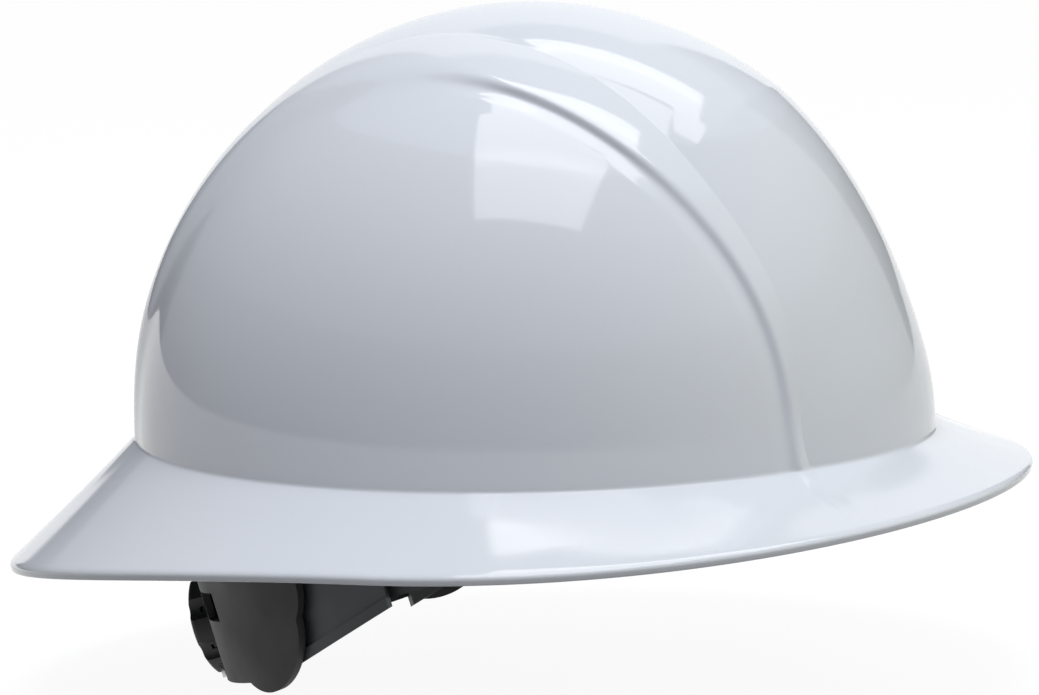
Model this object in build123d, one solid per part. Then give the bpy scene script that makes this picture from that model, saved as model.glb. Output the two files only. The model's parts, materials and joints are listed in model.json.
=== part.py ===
from build123d import *
import os
from math import acos, atan2, cos, degrees, pi, radians, sin, sqrt, tan

os.makedirs("parts", exist_ok=True)

# A full brim hard hat with its ratchet suspension. Millimetres, +X to the wearer's front,
# +Y to the wearer's left, +Z up. The origin is the middle of the head, level with the line
# where the crown meets the brim.

# Crown of the shell: half an ellipsoid with a raised band and a comb from front to rear
crown_length_radius = 122.5
crown_width_radius = 109.5
crown_height = 127.0
shell_wall = 2.4
band_rise = 2.2
band_front_half = 60.0
band_middle_half = 47.0
band_rear_half = 43.0
comb_rise = 4.2
comb_reach_rise = 4.8
comb_side_fall = 5.5
comb_shift = 2.6
comb_front_half = 55.0
comb_shoulder_half = 45.5
comb_middle_half = 30.0
comb_waist_half = 26.5
comb_rear_half = 24.0
comb_shoulder_x = 58.0
comb_rear_x = -86.0
comb_fade_z = 40.0
brow_rise = 11.3
brow_set_back = 1.3
brow_side_rise = 3.5

# Brim: its reach at the front, rear and sides, how far its edge lies below the crown line
brim_front_reach = 153.5
brim_rear_reach = 165.3
brim_side_reach = 142.5
brim_front_drop = 11.0
brim_rear_drop = 39.4
brim_side_drop = 18.4
brim_wall = 2.5
brim_root_fillet = 4.0
brim_lip_height = 2.6
brim_lip_wall = 1.9
brim_sections = 24

# Sockets for the suspension keys, by the way they face round the headband, and the chin strap lugs
key_front_angle = 50.0
key_rear_angle = 111.0
socket_width = 28.0
socket_depth = 9.0
socket_height = 22.0
slot_offset = 3.6
key_blade_wall = 2.8
key_blade_width = 19.0
key_blade_height = 19.0
slot_clearance = 0.3
lug_width = 13.0
lug_wall = 3.5
lug_hole_radius = 2.5
lug_hole_reach = 6.5

# Suspension key: flange, bridge to the headband and upright that holds the crown strap
key_flange_wall = 3.0
key_flange_width = 25.0
key_bridge_wall = 2.4
key_bridge_width = 15.0
key_upright_reach = 13.0
key_upright_wall = 2.0
key_upright_height = 14.0
key_upright_width = 22.0

# Headband: an oval of three radii in a plane that drops towards the nape
ring_centre_x = -14.0
head_clearance = 26.1
ring_front_radius = 58.0
ring_front_centre_x = 37.0
ring_side_extra = 115.9
ring_tilt = 16.0
ring_centre_height = -36.5
headband_wall = 2.0
headband_height = 24.0
headband_end_angle = 118.0
tab_width = 14.0
tab_wall = 2.0
tab_rise = 13.0
tab_root = 1.5
tab_foot_gap = 1.2
rivet_radius = 2.0
rivet_head_radius = 3.6
rivet_head_wall = 1.2
rivet_boss_radius = 4.5
seat_gap = 0.1

# Soft parts on the headband and the crown straps
brow_pad_wall = 4.0
brow_pad_height = 28.2
brow_pad_drop = 3.0
brow_pad_round = 1.5
brow_pad_angle = 62.0
pad_gap = 0.3
strap_width = 19.0
strap_wall = 1.2
strap_top_height = 88.0
strap_foot_height = -2.5
strap_cross_gap = 1.0
crown_pad_radius = 27.0
crown_pad_wall = 4.0
crown_pad_curve = 72.0
crown_pad_round = 1.5

# Nape arms: two curved straps in two layers, each with a toothed slot
arm_wall = 2.0
layer_gap = 0.35
arm_front_angle = 88.8
arm_back_angle = 46.0
arm_top = 22.0
arm_front_bottom = -2.3
arm_low_angle = 55.0
arm_low_bottom = -15.5
arm_rim_wall = 1.2
arm_rim_height = 3.2
tongue_height = 18.0
tongue_end_angle = 24.0
slot_end_angle = 20.0
blend_angle = 1.0
pinion_height = -1.0

# Rack and pinion
gear_module = 1.25
pinion_teeth = 8
pressure_angle = 30.0
pinion_addendum = 1.1
rack_addendum = 1.0
gear_root_gap = 0.3
gear_backlash = 0.25
pinion_shaft_radius = 3.0
shaft_clearance = 0.05
flank_steps = 4

# Ratchet housing: the cradle outside the arms, the plate inside them and the nape pad
cradle_wall = 2.4
cradle_angle = 54.0
cradle_top = 24.0
cradle_bottom = -15.6
lobe_radius = 22.0
lobe_angle = 54.5
lobe_height = 2.8
end_radius = 16.0
end_angle = 61.0
end_height = 12.0
window_start = 27.0
window_stop = 40.0
window_bottom = 4.0
window_top = 13.0
dial_seat_radius = 19.5
dial_seat_rise = 0.8
plate_wall = 2.0
plate_angle = 31.0
plate_top = 24.0
plate_bottom = -15.4
boss_radius = 2.4
boss_angle = 24.0
boss_low = -12.8
boss_high = 20.0
screw_head_radius = 2.2
screw_head_wall = 1.0
screw_radius = 1.2
nape_pad_wall = 4.0
nape_pad_angle = 29.0
nape_pad_top = 22.0
nape_pad_bottom = -14.0
nape_pad_round = 1.5

# Knob with its detent
knob_radius = 18.0
knob_height = 7.0
knob_gap = 0.4
knob_scallops = 8
knob_scallop_radius = 4.2
knob_crown_round = 2.0
hub_radius = 5.0
detent_outer_radius = 15.6
detent_inner_radius = 13.0
detent_height = 3.0
detent_teeth = 24
detent_tooth_depth = 1.2
pawl_hub_radius = 7.0
pawl_wall = 1.4
pawl_height = 2.2
pawl_tip_gap = 0.3
pawl_sweep = 150.0
knob_screw_radius = 1.5
knob_screw_head_radius = 3.2
knob_screw_head_wall = 1.6
knob_screw_length = 9.0

# One overrun serves every cut
overrun = 5.0

# Where the outlines of the band and the comb change, as shares of the crown's length radius
band_middle_share = -0.25
band_rear_share = -0.72
comb_middle_share = 0.05
comb_waist_share = -0.33

# Shares of the root fillet and of the lip's wall in the brim's section
root_rise_share = 1.2
root_bend_share = 0.29
lip_round_share = 0.15
lip_lean_share = 0.25
lip_root_share = 1.5

ring_frame = Plane(
    origin=(ring_centre_x, 0, ring_centre_height),
    x_dir=(cos(radians(ring_tilt)), 0, sin(radians(ring_tilt))),
    z_dir=(-sin(radians(ring_tilt)), 0, cos(radians(ring_tilt))),
)
ring_rear_radius = crown_width_radius - shell_wall - head_clearance
pitch_radius = gear_module * pinion_teeth / 2
layer_one = ring_rear_radius + headband_wall / 2 + layer_gap
layer_two = layer_one + arm_wall + layer_gap
cradle_inner = layer_two + arm_wall + arm_rim_wall + layer_gap
plate_outer = ring_rear_radius + headband_wall / 2
knob_base = cradle_inner + cradle_wall + dial_seat_rise + knob_gap


def rear_frame(radius):
    """A frame on the knob's axis at a radius of the ring, its Z away from the head."""
    return Plane(origin=(-radius, 0, pinion_height), x_dir=(0, -1, 0), z_dir=(-1, 0, 0)).location


def ellipse_dome(length_radius, width_radius, height):
    """An ellipsoid from its three half sizes."""
    return scale(Sphere(1), by=(length_radius, width_radius, height))


def outline_prism(points, bottom, top):
    """A prism over a symmetric outline, given as (x, half width) from front to rear."""
    left = Spline([(x, half) for x, half in points])
    right = Spline([(x, -half) for x, half in reversed(points)])
    rear = Line(left @ 1, right @ 0)
    front = Line(right @ 1, left @ 0)
    face = make_face([left, rear, right, front])
    return extrude(Pos(0, 0, bottom) * face, top - bottom)


def band_form(grow):
    """The raised band: a slightly larger dome between the two long creases."""
    reach = crown_length_radius + band_rise + grow
    dome = ellipse_dome(reach, crown_width_radius + band_rise + grow, crown_height + band_rise + grow)
    points = [
        (reach + overrun, band_front_half + grow),
        (crown_length_radius / 2, band_front_half + grow),
        (crown_length_radius * band_middle_share, band_middle_half + grow),
        (crown_length_radius * band_rear_share, band_rear_half + grow),
        (-reach - overrun, band_rear_half + grow),
    ]
    return dome & outline_prism(points, -brim_wall, crown_height + comb_rise + overrun)


def comb_form(grow):
    """The comb: a long dome cut off in front by a steeper one, so that they meet in a brow."""
    height = crown_height + comb_rise + grow
    reach = crown_length_radius + comb_reach_rise + grow
    top = ellipse_dome(reach, crown_width_radius - comb_side_fall + grow, height)
    brow = ellipse_dome(
        crown_length_radius - brow_set_back + grow,
        crown_width_radius + brow_side_rise + grow,
        crown_height + brow_rise + grow,
    )
    points = [
        (crown_length_radius + overrun, comb_front_half + grow),
        (comb_shoulder_x, comb_shoulder_half + grow),
        (crown_length_radius * comb_middle_share, comb_middle_half + grow),
        (crown_length_radius * comb_waist_share, comb_waist_half + grow),
        (comb_rear_x, comb_rear_half + grow),
    ]
    return Pos(comb_shift, 0, 0) * top & brow & outline_prism(points, comb_fade_z, height + overrun)


def crown_form(grow):
    """The whole crown as a solid, grown or shrunk by a wall."""
    bowl = ellipse_dome(crown_length_radius + grow, crown_width_radius + grow, crown_height + grow)
    return bowl + band_form(grow) + comb_form(grow)


def brim_drop(angle):
    """How far the brim's edge lies below the crown line, at an angle round the brim."""
    end_drop = brim_front_drop if cos(angle) > 0 else brim_rear_drop
    return brim_side_drop + (end_drop - brim_side_drop) * cos(angle) ** 2


def brim_section(angle):
    """The brim's upright section at an angle: root fillet, slope, rounded edge and lip."""
    reach = brim_front_reach if cos(angle) > 0 else brim_rear_reach
    inset = shell_wall / 2
    root = Vector(
        (crown_length_radius - inset) * cos(angle), (crown_width_radius - inset) * sin(angle), 0
    )
    edge = Vector(reach * cos(angle), brim_side_reach * sin(angle), 0)
    span = (edge - root).length
    outward = (edge - root).normalized()
    drop = brim_drop(angle)
    slope = drop / span

    def at(distance, height):
        return root + outward * distance + Vector(0, 0, height)

    start = inset
    fillet_end = start + brim_root_fillet
    top_start = at(start, brim_root_fillet * root_rise_share)
    top_middle = at(start + brim_root_fillet * root_bend_share, brim_root_fillet * root_bend_share)
    top_end = at(fillet_end, -slope * fillet_end)
    edge_top = at(span - brim_lip_wall / 2, -drop + slope * brim_lip_wall / 2)
    edge_side = at(span, -drop - brim_lip_wall / 2)
    edge_corner = at(span - brim_lip_wall * lip_round_share, -drop - brim_lip_wall * lip_round_share)
    lip_inset = brim_lip_wall * lip_lean_share
    lip_foot = at(span - lip_inset, -drop - brim_lip_height)
    lip_inside = at(span - lip_inset - brim_lip_wall, -drop - brim_lip_height)
    under_edge = at(span - lip_inset - brim_lip_wall * lip_root_share, -drop - brim_wall)
    under_root = at(0, -brim_wall)
    root_top = at(0, brim_root_fillet * root_rise_share)
    return Wire(
        [
            Line(root_top, top_start),
            ThreePointArc(top_start, top_middle, top_end),
            Line(top_end, edge_top),
            ThreePointArc(edge_top, edge_corner, edge_side),
            Line(edge_side, lip_foot),
            Line(lip_foot, lip_inside),
            Line(lip_inside, under_edge),
            Line(under_edge, under_root),
            Line(under_root, root_top),
        ]
    )


def brim_form():
    """The brim, lofted through its upright sections all the way round."""
    sections = [brim_section(2 * pi * i / brim_sections) for i in range(brim_sections)]
    sections.append(sections[0])
    return Solid.make_loft(sections)


def wall_frame(angle):
    """A frame on the inside of the crown wall: +X inward, +Z up, at an angle of the ellipse."""
    a = crown_length_radius - shell_wall
    b = crown_width_radius - shell_wall
    t = radians(angle)
    outward = Vector(cos(t) / a, sin(t) / b, 0).normalized()
    return Plane(origin=(a * cos(t), b * sin(t), 0), x_dir=-outward, z_dir=(0, 0, 1))


def block(x0, x1, width, z0, z1):
    """A box by its limits along X and Z, centred across Y."""
    return Pos((x0 + x1) / 2, 0, (z0 + z1) / 2) * Box(x1 - x0, width, z1 - z0)


key_angles = {
    "front_left": key_front_angle,
    "front_right": -key_front_angle,
    "rear_left": key_rear_angle,
    "rear_right": -key_rear_angle,
}


def make_shell():
    """The moulded shell: crown, brim, key sockets and chin strap lugs."""
    size = 2 * (brim_rear_reach + overrun)
    above = Box(size, size, size, align=(Align.CENTER, Align.CENTER, Align.MIN))
    outer_crown = crown_form(0) & (Pos(0, 0, -brim_wall) * above)
    inner = crown_form(-shell_wall) & above
    floor = inner.faces().sort_by(Axis.Z)[0]
    mouth = extrude(floor, overrun, dir=(0, 0, -1))
    shell = outer_crown + brim_form() - inner - mouth
    for name in key_angles:
        frame = hanger(name)[0]
        socket = block(-shell_wall / 2, socket_depth, socket_width, -brim_wall, socket_height)
        slot = block(
            slot_offset,
            slot_offset + key_blade_wall + 2 * slot_clearance,
            key_blade_width + 2 * slot_clearance,
            -brim_wall - overrun,
            key_blade_height + slot_clearance,
        )
        shell = shell + ((frame * socket) & outer_crown) - frame * slot
    for side in (90, -90):
        frame = wall_frame(side)
        nose = lug_hole_reach
        lug = block(-shell_wall / 2, nose, lug_width, -brim_wall, lug_wall - brim_wall)
        end = Cylinder(lug_width / 2, lug_wall, align=(Align.CENTER, Align.CENTER, Align.MIN))
        lug += Pos(nose, 0, -brim_wall) * end
        hole = Pos(nose, 0, 0) * Cylinder(lug_hole_radius, 2 * (lug_wall + overrun))
        shell = shell + frame * lug - frame * hole
    return shell


def ring_arcs():
    """The headband's oval on the wearer's left: rear, side and front arcs as (centre, radius, a0, a1)."""
    rear = Vector(0, 0)
    front = Vector(ring_front_centre_x - ring_centre_x, 0)
    gap = front.X
    step = ring_rear_radius - ring_front_radius
    extra = ring_side_extra
    turn = acos((step - (gap**2 - step**2) / (2 * extra)) / gap)
    side = Vector(-extra * cos(turn), -extra * sin(turn))
    meet = degrees(atan2(-side.Y, front.X - side.X))
    return [
        (rear, ring_rear_radius, headband_end_angle, degrees(turn)),
        (side, ring_rear_radius + extra, degrees(turn), meet),
        (front, ring_front_radius, meet, 0),
    ]


def ring_side(grow, start_angle, stop_angle):
    """The oval's left half at an offset from its middle line, as edges from rear to front."""
    edges = []
    for centre, radius, a0, a1 in ring_arcs():
        a0 = min(a0, start_angle)
        a1 = max(a1, stop_angle)
        if a0 - a1 <= 0:
            continue
        edges.append(CenterArc((centre.X, centre.Y), radius + grow, a0, a1 - a0))
    return edges


def ring_strip(inner, outer, start_angle, bottom, height):
    """A strip round the front of the oval, between two offsets from its middle line."""
    outside = ring_side(outer, start_angle, 0)
    inside = ring_side(inner, start_angle, 0)
    end = Line(inside[0] @ 0, outside[0] @ 0)
    middle = Line(inside[-1] @ 1, outside[-1] @ 1)
    half = make_face([*outside, *inside, end, middle])
    left = extrude(Pos(0, 0, bottom) * half, height)
    return left + mirror(left, about=Plane.XZ)


def hanger(name):
    """A key's frame on the shell's inner wall, and how far in and how high its tab starts."""
    angle = key_angles[name]
    turn = radians(abs(angle))
    for centre, radius, a0, a1 in ring_arcs():
        if radians(a1) <= turn <= radians(a0):
            point = centre + Vector(radius * cos(turn), radius * sin(turn))
    lean = radians(ring_tilt)
    x = ring_centre_x + point.X * cos(lean) - headband_height * sin(lean)
    y = point.Y
    top = ring_centre_height + point.X * sin(lean) + headband_height * cos(lean)
    way = Vector(cos(turn) * cos(lean), sin(turn)).normalized()
    a = crown_length_radius - shell_wall
    b = crown_width_radius - shell_wall
    square = (way.X / a) ** 2 + (way.Y / b) ** 2
    half_b = x * way.X / a**2 + y * way.Y / b**2
    short = (x / a) ** 2 + (y / b) ** 2 - 1
    distance = (sqrt(max(half_b**2 - square * short, 0)) - half_b) / square
    side = 1 if angle > 0 else -1
    wall = (x + way.X * distance, side * (y + way.Y * distance), 0)
    inward = (-way.X, -side * way.Y, 0)
    return Plane(origin=wall, x_dir=inward, z_dir=(0, 0, 1)), distance, top


def plate_reach(distance, top):
    """Where a key's hanger plate ends, clear of the band that leans out below its tab."""
    lean = max(0, top + brim_wall + slot_clearance + key_bridge_wall) * sin(radians(ring_tilt))
    return distance - tab_wall / 2 - seat_gap - lean


def make_headband():
    """The front headband with four tabs that the keys hold."""
    strip = ring_strip(
        -headband_wall / 2, headband_wall / 2, headband_end_angle, 0, headband_height
    )
    band = ring_frame.location * strip
    size = 2 * (crown_length_radius + overrun)
    under = ring_frame.location * (Pos(0, 0, headband_height - size / 2) * Box(size, size, size))
    for name in key_angles:
        frame, distance, top = hanger(name)
        tab = block(
            distance - tab_wall / 2, distance + tab_wall / 2, tab_width, top - tab_root, top + tab_rise
        )
        hole = rivet_hole(distance, top)
        band = band + (frame * tab - under) - frame * hole
    return band


def rivet_hole(distance, top):
    """The hole for a tab's rivet, in the key's frame."""
    height = top + tab_rise - tab_width / 2
    reach = distance - plate_reach(distance, top) + key_bridge_wall + seat_gap
    hole = Cylinder(rivet_radius + seat_gap, 2 * reach)
    return Pos(distance, 0, height) * Rot(0, 90, 0) * hole


def make_key(name):
    """A suspension key: blade, flange, bridge with its hanger plate, and strap upright."""
    frame, distance, top = hanger(name)
    blade_start = slot_offset + slot_clearance
    blade_end = blade_start + key_blade_wall
    flange_top = -brim_wall - slot_clearance
    flange_bottom = flange_top - key_flange_wall
    bridge_bottom = flange_top - key_bridge_wall
    tab_face = distance - tab_wall / 2 - seat_gap
    plate_end = plate_reach(distance, top)
    plate_start = plate_end - key_bridge_wall
    plate_top = max(top + tab_rise, flange_top)
    plate_bottom = min(top + tab_foot_gap, bridge_bottom)
    upright_end = key_upright_reach + key_upright_wall
    key = block(blade_start, blade_end, key_blade_width, flange_bottom, key_blade_height)
    key += block(
        blade_start - key_blade_wall / 2, blade_end + key_blade_wall, key_flange_width,
        flange_bottom, flange_top,
    )
    key += block(blade_start, plate_end, key_bridge_width, bridge_bottom, flange_top)
    key += block(plate_start, plate_end, tab_width, plate_bottom, plate_top)
    key += block(
        key_upright_reach, upright_end, key_upright_width, bridge_bottom, key_upright_height
    )
    if tab_face - plate_end > seat_gap:
        boss = Cylinder(rivet_boss_radius, tab_face - plate_start)
        height = top + tab_rise - tab_width / 2
        key += Pos((tab_face + plate_start) / 2, 0, height) * Rot(0, 90, 0) * boss
    return frame * (key - rivet_hole(distance, top))


def make_rivets():
    """Four rivets that hold the headband's tabs to the keys."""
    rivets = []
    for name in key_angles:
        frame, distance, top = hanger(name)
        height = top + tab_rise - tab_width / 2
        outer = plate_reach(distance, top) - key_bridge_wall
        inner = distance + tab_wall / 2
        turn = Rot(0, 90, 0)
        shank = Pos((outer + inner) / 2, 0, height) * turn * Cylinder(rivet_radius, inner - outer)
        head_out = outer - rivet_head_wall / 2
        head_in = inner + rivet_head_wall / 2
        heads = [
            Pos(x, 0, height) * turn * Cylinder(rivet_head_radius, rivet_head_wall)
            for x in (head_out, head_in)
        ]
        rivets.append(frame * (shank + heads[0] + heads[1]))
    return Compound(rivets)


def make_brow_pad():
    """The sweatband pad on the inside of the headband, round the brow."""
    face = -headband_wall / 2 - pad_gap
    strip = ring_strip(
        face - brow_pad_wall, face, brow_pad_angle, -brow_pad_drop, brow_pad_height
    )
    edges = strip.edges().filter_by(GeomType.CIRCLE)
    inner = [e for e in edges if e.radius < ring_front_radius + face - brow_pad_wall / 2]
    return ring_frame.location * fillet(inner, brow_pad_round)


def strap_ends(first, second):
    """Where a crown strap starts and ends, just inside the uprights of two keys."""
    frames = [hanger(name)[0] for name in (first, second)]
    reach = Vector(key_upright_reach + key_upright_wall + pad_gap, 0, 0)
    start, end = [frame.from_local_coords(reach) for frame in frames]
    along = (end - start).normalized()
    turns = [frame.x_dir.cross(along).length / abs(frame.x_dir.dot(along)) for frame in frames]
    start = start + along * (strap_width / 2 * turns[0])
    end = end - along * (strap_width / 2 * turns[1])
    return start, end


def half_arch(half, rise, side):
    """One side of a strap's arch, a quarter of an ellipse in its own plane."""
    ring = Ellipse(half, rise) - Ellipse(half - strap_wall, rise - strap_wall)
    return ring & (Pos(side * half, rise) * Rectangle(2 * half, 2 * rise))


def make_strap(first, second, top):
    """A webbing strap in an arch over the head, highest where the two straps cross."""
    start, end = strap_ends(first, second)
    along = (end - start).normalized()
    cross = start + (end - start) * (start.Y / (start.Y - end.Y)) + Vector(0, 0, strap_foot_height)
    side = Plane(origin=cross, x_dir=along, z_dir=along.cross(Vector(0, 0, 1)))
    rise = top - strap_foot_height
    before = (cross - start).dot(along)
    after = (end - cross).dot(along)
    arch = half_arch(before, rise, -1) + half_arch(after, rise, 1)
    return extrude(side.location * arch, strap_width / 2, both=True)


def make_crown_pad():
    """A domed pad with rounded rims under the crossing of the crown straps."""
    start, end = strap_ends("front_left", "rear_right")
    cross_x = start.X + (end.X - start.X) * start.Y / (start.Y - end.Y)
    top = strap_top_height - 2 * strap_wall - strap_cross_gap - pad_gap
    ball = Sphere(crown_pad_curve) - Sphere(crown_pad_curve - crown_pad_wall)
    reach = 2 * crown_pad_curve
    pad = ball & Cylinder(crown_pad_radius, reach, align=(Align.CENTER, Align.CENTER, Align.MIN))
    pad = fillet(pad.edges().filter_by(GeomType.CIRCLE), crown_pad_round)
    return Pos(cross_x, 0, top - crown_pad_curve) * pad


def ring_piece(inner, outer, start, stop, bottom, top):
    """A piece of a round wall about the nape axis. Angles are from the rear, plus to the left."""
    a0 = 180 - stop
    sweep = stop - start
    outer_arc = CenterArc((0, 0), outer, a0, sweep)
    inner_arc = CenterArc((0, 0), inner, a0, sweep)
    face = make_face(
        [outer_arc, inner_arc, Line(inner_arc @ 0, outer_arc @ 0), Line(inner_arc @ 1, outer_arc @ 1)]
    )
    return extrude(Pos(0, 0, bottom) * face, top - bottom)


def rear_point(radius, angle, height):
    """A point on the ring by radius, angle from the rear (plus to the left) and height."""
    t = radians(angle)
    return Vector(-radius * cos(t), radius * sin(t), height)


def arm_cut(radius, lift):
    """A slab above the arm's sloping lower edge."""
    low = rear_point(radius, arm_low_angle, arm_low_bottom)
    high = rear_point(radius, arm_front_angle, arm_front_bottom)
    run = high.X - low.X
    slope = degrees(atan2(high.Z - low.Z, run))
    size = ring_rear_radius * 2
    slab = Box(size * 2, size * 2, size)
    return Pos(low.X, 0, low.Z) * Rot(0, -slope, 0) * Pos(0, 0, size / 2 + lift) * slab


def rack_tooth(sign):
    """One rack tooth across a layer, on its pitch line, pointing at the pinion."""
    half = (pi * gear_module - gear_backlash) / 4
    lean = tan(radians(pressure_angle))
    root = pinion_addendum + gear_root_gap
    back = root + gear_root_gap
    tip_half = half - rack_addendum * lean
    root_half = half + back * lean
    points = [
        (-tip_half, -sign * rack_addendum),
        (tip_half, -sign * rack_addendum),
        (root_half, sign * back),
        (-root_half, sign * back),
    ]
    return make_face(Polyline(*points, close=True))


def make_arm(layer, sign):
    """A nape arm on the wearer's left. Its teeth are above the pinion (+1) or below it (-1)."""
    outer = layer + arm_wall
    middle = layer + arm_wall / 2
    tongue_bottom = pinion_height - tongue_height / 2
    tongue_top = pinion_height + tongue_height / 2
    tongue = ring_piece(
        layer, outer, -tongue_end_angle, arm_back_angle + blend_angle, tongue_bottom, tongue_top
    )
    bottom = arm_low_bottom - overrun
    wide = ring_piece(layer, outer, arm_back_angle, arm_front_angle, bottom, arm_top)
    rim = ring_piece(layer, outer + arm_rim_wall, arm_back_angle, arm_front_angle, bottom, arm_top)
    wide = wide & arm_cut(middle, 0)
    rim = (rim & arm_cut(middle, 0)) - arm_cut(middle, arm_rim_height)
    plain = pitch_radius + pinion_addendum + gear_root_gap * 2
    toothed = pitch_radius + pinion_addendum + gear_root_gap
    slot_low, slot_high = sorted((-sign * plain, sign * toothed))
    slot = ring_piece(
        layer - overrun, outer + overrun, -slot_end_angle, slot_end_angle,
        pinion_height + slot_low, pinion_height + slot_high,
    )
    pitch_angle = degrees(pi * gear_module / middle)
    count = int((slot_end_angle - pitch_angle) / pitch_angle)
    line = pinion_height + sign * pitch_radius
    teeth = []
    for i in range(-count, count):
        turn = (i + 0.5) * pitch_angle
        plane = Plane(origin=(0, 0, line), x_dir=(0, -1, 0), z_dir=(-1, 0, 0))
        tooth = extrude(plane.location * rack_tooth(sign), outer + overrun, dir=(-1, 0, 0))
        teeth.append(Rot(0, 0, -turn) * tooth)
    wall_end = slot_end_angle + blend_angle
    wall = ring_piece(layer, outer, -wall_end, wall_end, tongue_bottom, tongue_top)
    arm = tongue + wide + rim - slot
    for tooth in teeth:
        arm = arm + (tooth & wall)
    return arm


def involute_gear(length):
    """The drive pinion's toothed length, with its involute flanks as short lines."""
    base = pitch_radius * cos(radians(pressure_angle))
    tip = pitch_radius + pinion_addendum
    root = pitch_radius - rack_addendum - gear_root_gap
    half_pitch = (pi * gear_module - gear_backlash) / (4 * pitch_radius)

    def involute(angle):
        return tan(angle) - angle

    flank = []
    for i in range(flank_steps + 1):
        radius = max(base, root) + (tip - max(base, root)) * i / flank_steps
        turn = half_pitch + involute(radians(pressure_angle)) - involute(acos(base / radius))
        flank.append((radius, turn))
    points = []
    for k in range(pinion_teeth):
        middle = pi / 2 + 2 * pi * k / pinion_teeth
        left = [(root, flank[0][1])] + flank
        points += [(r * cos(middle - t), r * sin(middle - t)) for r, t in left]
        points += [(r * cos(middle + t), r * sin(middle + t)) for r, t in reversed(left)]
    return extrude(make_face(Polyline(*points, close=True)), length)


def make_pinion():
    """The drive pinion: teeth through both layers and a shaft out to the knob."""
    start = layer_one
    stop = layer_two + arm_wall
    gear = rear_frame(start) * involute_gear(stop - start)
    shaft_stop = knob_base + knob_height / 2
    shaft = rear_frame(stop) * Pos(0, 0, (shaft_stop - stop) / 2)
    shaft = shaft * Cylinder(pinion_shaft_radius, shaft_stop - stop)
    bore = rear_frame(shaft_stop) * Pos(0, 0, -knob_screw_length / 2)
    bore = bore * Cylinder(knob_screw_radius + shaft_clearance, knob_screw_length)
    return gear + shaft - bore


def boss_places():
    """Where the plate's four bosses stand: angle from the rear and height."""
    return [(angle, height) for angle in (-boss_angle, boss_angle) for height in (boss_low, boss_high)]


def boss_axis(angle, height):
    """A location on the ring's axis with its Z out along a boss."""
    return Rot(0, 0, -angle) * Pos(0, 0, height) * Rot(0, -90, 0)


def outward(shape_radius, start, stop):
    """A cylinder along Z between two distances."""
    return Pos(0, 0, (start + stop) / 2) * Cylinder(shape_radius, stop - start)


def make_cradle():
    """The outer half of the ratchet housing: lobes behind the ears, dial seat and shaft bearing."""
    outer = cradle_inner + cradle_wall
    wall = ring_piece(cradle_inner, outer, -cradle_angle, cradle_angle, cradle_bottom, cradle_top)
    low = lobe_height - lobe_radius - overrun
    ring = ring_piece(cradle_inner, outer, -90, 90, low, cradle_top)
    for side in (1, -1):
        low_lobe = boss_axis(side * lobe_angle, lobe_height) * outward(lobe_radius, 0, outer + overrun)
        end_lobe = boss_axis(side * end_angle, end_height) * outward(end_radius, 0, outer + overrun)
        wall = wall + ((low_lobe + end_lobe) & ring)
        start, stop = sorted((side * window_start, side * window_stop))
        window = ring_piece(
            cradle_inner - overrun, outer + overrun, start, stop, window_bottom, window_top
        )
        wall = wall - window
    rear = rear_frame(0)
    hollow = Pos(0, 0, (low + cradle_top) / 2) * Cylinder(cradle_inner, cradle_top - low)
    seat = rear * outward(dial_seat_radius, cradle_inner - overrun, outer + dial_seat_rise)
    shaft_hole = rear * outward(pinion_shaft_radius + shaft_clearance, 0, outer + overrun)
    cradle = wall + (seat - hollow) - shaft_hole
    for angle, height in boss_places():
        hole = outward(screw_radius + shaft_clearance, 0, outer + overrun)
        cradle = cradle - boss_axis(angle, height) * hole
    return cradle


def make_plate():
    """The inner half of the ratchet housing, with bosses that reach the cradle."""
    inner = plate_outer - plate_wall
    plate = ring_piece(inner, plate_outer, -plate_angle, plate_angle, plate_bottom, plate_top)
    for angle, height in boss_places():
        axis = boss_axis(angle, height)
        boss = axis * outward(boss_radius, plate_outer - plate_wall / 2, cradle_inner - seat_gap)
        bore = axis * outward(screw_radius + shaft_clearance, inner + plate_wall / 2, cradle_inner)
        plate = plate + boss - bore
    return plate


def make_plate_screws():
    """Four screws that close the ratchet housing."""
    outer = cradle_inner + cradle_wall + seat_gap
    screws = []
    for angle, height in boss_places():
        axis = boss_axis(angle, height)
        head = axis * outward(screw_head_radius, outer, outer + screw_head_wall)
        shank = axis * outward(screw_radius, plate_outer, outer)
        screws.append(head + shank)
    return Compound(screws)


def make_nape_pad():
    """The cushion on the inside of the ratchet housing."""
    outer = plate_outer - plate_wall - pad_gap
    pad = ring_piece(
        outer - nape_pad_wall, outer, -nape_pad_angle, nape_pad_angle, nape_pad_bottom, nape_pad_top
    )
    middle = outer - nape_pad_wall / 2
    rounded = [e for e in pad.edges().filter_by(GeomType.CIRCLE) if e.radius < middle]
    return fillet(rounded, nape_pad_round)


def make_detent_ring():
    """The ring of detent teeth under the knob."""
    inside = []
    for i in range(detent_teeth):
        for radius, step in ((detent_inner_radius, 0), (detent_inner_radius + detent_tooth_depth, 1)):
            turn = pi * (2 * i + step) / detent_teeth
            inside.append((radius * cos(turn), radius * sin(turn)))
    star = extrude(make_face(Polyline(*inside, close=True)), detent_height)
    ring = outward(detent_outer_radius, 0, detent_height)
    return rear_frame(knob_base - knob_gap) * (ring - star)


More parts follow.
